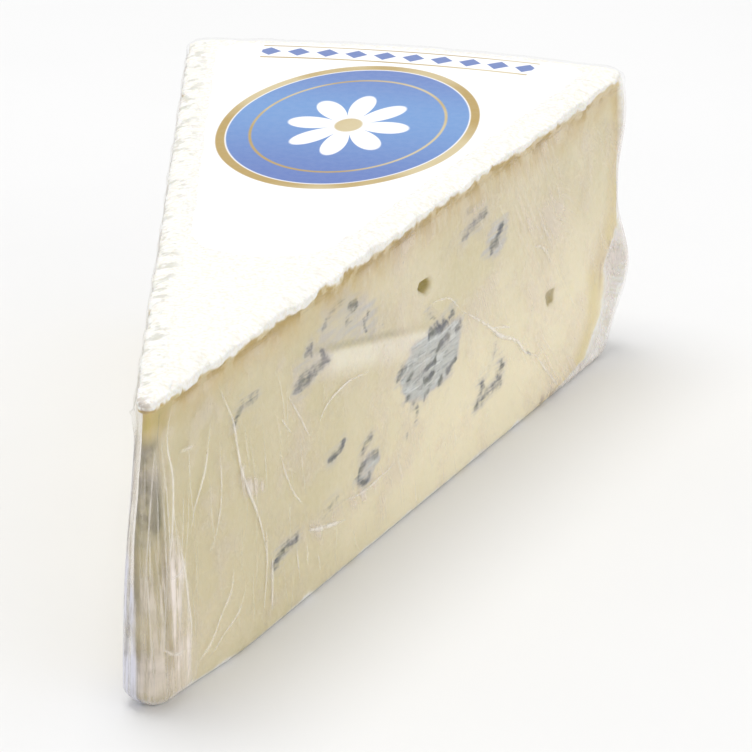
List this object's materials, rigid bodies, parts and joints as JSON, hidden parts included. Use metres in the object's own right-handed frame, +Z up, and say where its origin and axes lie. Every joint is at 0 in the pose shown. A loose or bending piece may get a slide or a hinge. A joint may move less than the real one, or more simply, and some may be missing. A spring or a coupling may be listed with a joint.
{
  "type": "blue brie wedge",
  "caption": "Wedge of blue-veined brie in clear film, with a white rind, blue mould in the cut face and a paper label on top.",
  "frame": {"origin": "middle of the base of the bounding box, on the surface the wedge stands on", "axes": "+Y from the blunt point to the rind back, +X to the right of it, +Z up through the cheese's height"},
  "size_m": [0.0592, 0.128, 0.0388],
  "materials": {
    "cheese": "cream paste with blue mould veins and a white velvety rind, all under tight clear film",
    "label": null,
    "film": "thin clear wrapping film, glossy, with fine creases and pleats"
  },
  "bodies": {
    "root": {"wedge": "cheese", "label": "label"}
  },
  "joints": []
}
